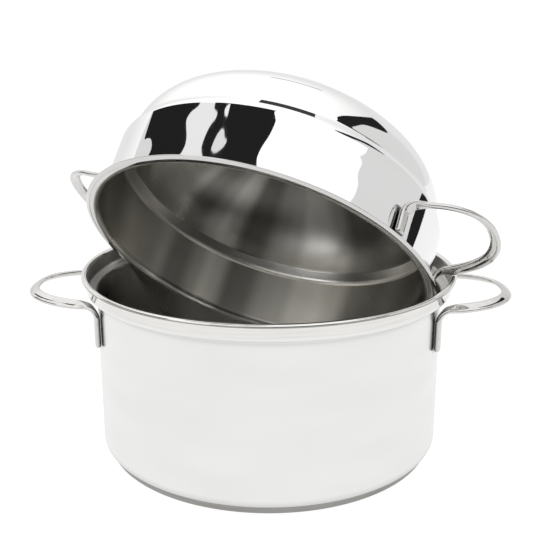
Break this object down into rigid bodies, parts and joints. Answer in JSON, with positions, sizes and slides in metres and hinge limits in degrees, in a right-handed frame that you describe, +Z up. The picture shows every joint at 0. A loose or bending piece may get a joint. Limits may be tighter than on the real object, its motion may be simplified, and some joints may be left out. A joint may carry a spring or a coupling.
{
  "type": "mussel pot",
  "caption": "Wide steel pot with a sandwich base, rod loop handles and a deep domed lid with handles of its own, which leans open in the pot and lifts off.",
  "frame": {"origin": "centre of the flat underside that the pot stands on", "axes": "+Z up along the pot's axis, +X towards the right handle, -Y towards the front, where the lid's mouth opens"},
  "size_m": [0.3416, 0.2618, 0.2651],
  "materials": {
    "pot_steel": "satin stainless steel outside, brushed inside",
    "lid_steel": "mirror polished stainless steel outside, brushed inside",
    "rod_steel": "polished stainless steel rod",
    "base_steel": "satin stainless steel",
    "core_aluminium": "plain, sealed inside the base"
  },
  "bodies": {
    "pot": {"pot_body": "pot_steel", "base_cap": "base_steel", "base_core": "core_aluminium", "pot_handle_left": "rod_steel", "pot_handle_right": "rod_steel"},
    "lid": {"lid_shell": "lid_steel", "lid_handle_left": "rod_steel", "lid_handle_right": "rod_steel"}
  },
  "joints": [
    {"name": "lid_lift", "type": "slide", "parent": "pot", "child": "lid", "axis": [0, 0, 1], "range_m": [0, 0.18]}
  ]
}
